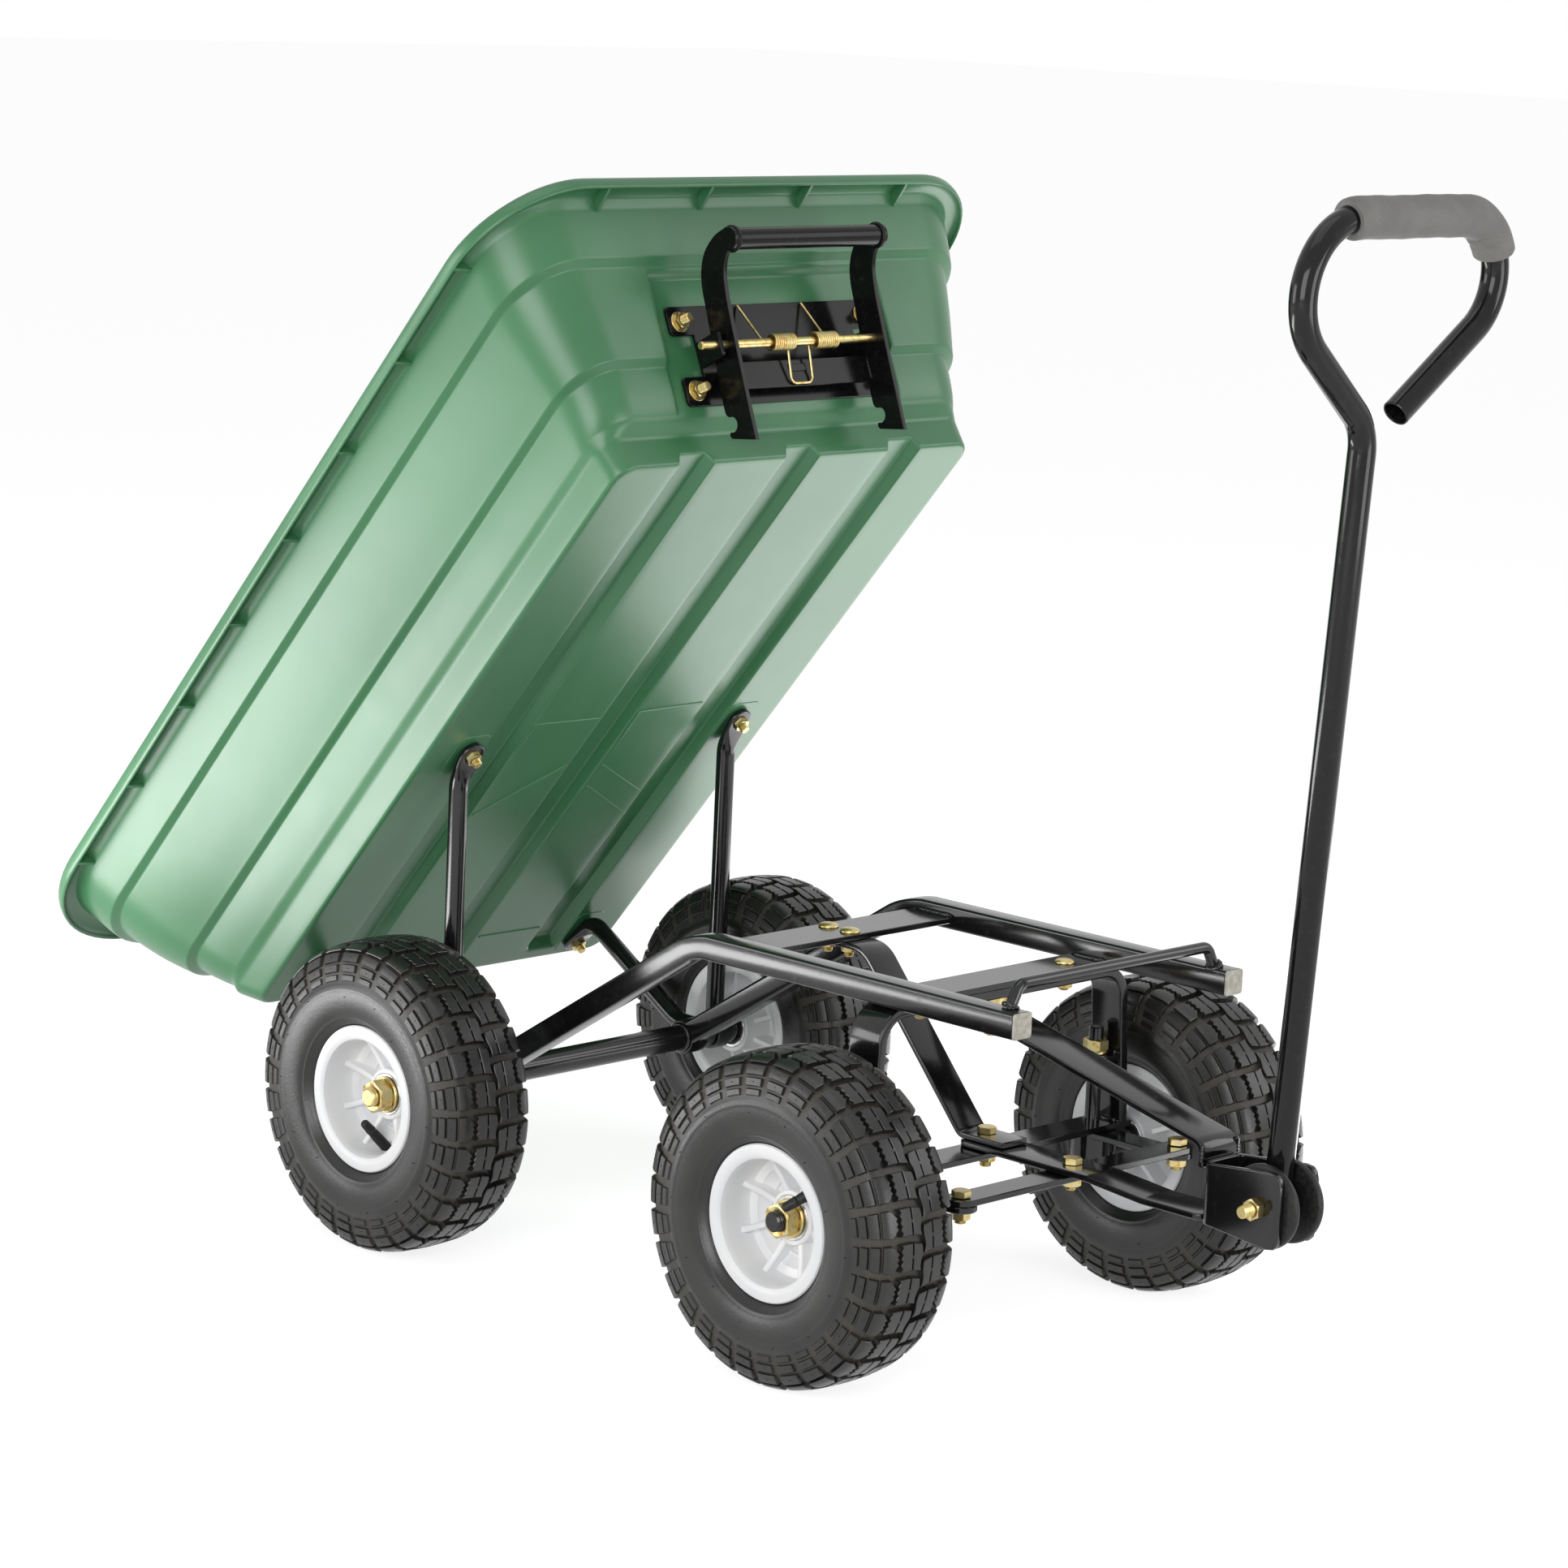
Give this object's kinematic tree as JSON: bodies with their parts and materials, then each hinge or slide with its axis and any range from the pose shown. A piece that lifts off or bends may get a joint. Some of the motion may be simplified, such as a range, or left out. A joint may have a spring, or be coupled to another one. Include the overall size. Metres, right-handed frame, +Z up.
{
  "type": "tipping garden cart",
  "caption": "Garden cart with a plastic tub that tips about the rear axle, a latch, a steered front axle, air-filled wheels and a loop handle.",
  "frame": {"origin": "on the ground under the middle of the rear axle", "axes": "+X forward to the handle, +Y to the cart's left, +Z up"},
  "size_m": [1.2531, 0.558, 0.9202],
  "materials": {
    "green_plastic": "satin moulded polypropylene",
    "tyre_rubber": "moulded tread rubber",
    "black_rubber": "smooth rubber",
    "white_plastic": "white moulded plastic",
    "bright_steel": "bright ground steel",
    "yellow_zinc": "yellow passivated zinc",
    "off_white_plastic": "off-white moulded plastic",
    "grip_foam": "closed-cell foam",
    "black_plastic": "black moulded plastic",
    "black_paint": "gloss black powder coat on steel"
  },
  "bodies": {
    "frame": {"rail_left": "black_paint", "rail_right": "black_paint", "rail_plugs": "off_white_plastic", "rear_cross_plate": "black_paint", "front_cross_plate": "black_paint", "rear_axle": "bright_steel", "rear_axle_tube": "black_paint", "rear_axle_collars": "black_paint", "rear_axle_nuts": "yellow_zinc", "front_arch": "black_paint", "arch_bolts": "yellow_zinc", "lower_cross_bar": "black_paint", "kingpin_brackets": "black_paint", "stay_strap": "black_paint", "stay_bolts": "yellow_zinc", "latch_rod": "black_paint", "steering_pivots": "yellow_zinc"},
    "bed": {"bed_tub": "green_plastic", "support_left": "black_paint", "support_right": "black_paint", "support_bolts": "yellow_zinc", "latch_bracket": "black_paint", "latch_bracket_bolts": "yellow_zinc", "latch_pin": "yellow_zinc", "latch_spring": "yellow_zinc"},
    "latch": {"latch_lever": "black_paint", "latch_grip": "black_paint"},
    "drawbar": {"drawbar_bar": "black_paint", "drawbar_strap": "black_paint", "clevis": "black_paint", "clevis_bolt": "yellow_zinc", "centre_tie_bolt": "yellow_zinc"},
    "tie_bar": {"tie_bar": "black_paint"},
    "knuckle_left": {"knuckle_left": "black_paint", "knuckle_hardware_left": "yellow_zinc"},
    "knuckle_right": {"knuckle_right": "black_paint", "knuckle_hardware_right": "yellow_zinc"},
    "handle": {"handle_tube": "black_paint", "handle_discs": "black_plastic", "handle_grip": "grip_foam"},
    "wheel_front_left": {"tyre_front_left": "tyre_rubber", "inner_tube_front_left": "black_rubber", "rim_front_left": "white_plastic", "bearings_front_left": "bright_steel", "valve_front_left": "black_rubber"},
    "wheel_front_right": {"tyre_front_right": "tyre_rubber", "inner_tube_front_right": "black_rubber", "rim_front_right": "white_plastic", "bearings_front_right": "bright_steel", "valve_front_right": "black_rubber"},
    "wheel_rear_left": {"tyre_rear_left": "tyre_rubber", "inner_tube_rear_left": "black_rubber", "rim_rear_left": "white_plastic", "bearings_rear_left": "bright_steel", "valve_rear_left": "black_rubber"},
    "wheel_rear_right": {"tyre_rear_right": "tyre_rubber", "inner_tube_rear_right": "black_rubber", "rim_rear_right": "white_plastic", "bearings_rear_right": "bright_steel", "valve_rear_right": "black_rubber"}
  },
  "joints": [
    {"name": "bed_tip", "type": "hinge", "parent": "frame", "child": "bed", "pos_m": [0, 0, 0.13], "axis": [0, 1, 0], "range_deg": [0, 49.4]},
    {"name": "latch_release", "type": "hinge", "parent": "bed", "child": "latch", "pos_m": [0.22844, 0, 0.76385], "axis": [0, -1, 0], "range_deg": [0, 14], "stiffness_Nm_per_rad": 1.2, "springref_deg": -28.65, "deforming": ["latch_spring"]},
    {"name": "steer", "type": "hinge", "parent": "frame", "child": "drawbar", "pos_m": [0.466, 0, 0.154], "axis": [0, 0, 1], "range_deg": [-25, 25]},
    {"name": "knuckle_left_turn", "type": "hinge", "parent": "frame", "child": "knuckle_left", "pos_m": [0.466, 0.126, 0.145], "axis": [0, 0, 1], "range_deg": [-25, 25]},
    {"name": "knuckle_right_turn", "type": "hinge", "parent": "frame", "child": "knuckle_right", "pos_m": [0.466, -0.126, 0.145], "axis": [0, 0, 1], "range_deg": [-25, 25]},
    {"name": "tie_bar_swing", "type": "hinge", "parent": "drawbar", "child": "tie_bar", "pos_m": [0.556, 0, 0.1485], "axis": [0, 0, 1], "range_deg": [-25, 25]},
    {"name": "handle_pitch", "type": "hinge", "parent": "drawbar", "child": "handle", "pos_m": [0.757, 0, 0.17], "axis": [0, 1, 0], "range_deg": [-8, 88]},
    {"name": "wheel_front_left_spin", "type": "hinge", "parent": "knuckle_left", "child": "wheel_front_left", "pos_m": [0.466, 0.208, 0.13], "axis": [0, 1, 0], "continuous": true},
    {"name": "wheel_front_right_spin", "type": "hinge", "parent": "knuckle_right", "child": "wheel_front_right", "pos_m": [0.466, -0.208, 0.13], "axis": [0, 1, 0], "continuous": true},
    {"name": "wheel_rear_left_spin", "type": "hinge", "parent": "frame", "child": "wheel_rear_left", "pos_m": [0, 0.2135, 0.13], "axis": [0, 1, 0], "continuous": true},
    {"name": "wheel_rear_right_spin", "type": "hinge", "parent": "frame", "child": "wheel_rear_right", "pos_m": [0, -0.2135, 0.13], "axis": [0, 1, 0], "continuous": true}
  ],
  "couplings": [
    {"joint": "knuckle_left_turn", "follows": "steer", "ratio": 1},
    {"joint": "knuckle_right_turn", "follows": "steer", "ratio": 1},
    {"joint": "tie_bar_swing", "follows": "steer", "ratio": -1}
  ]
}
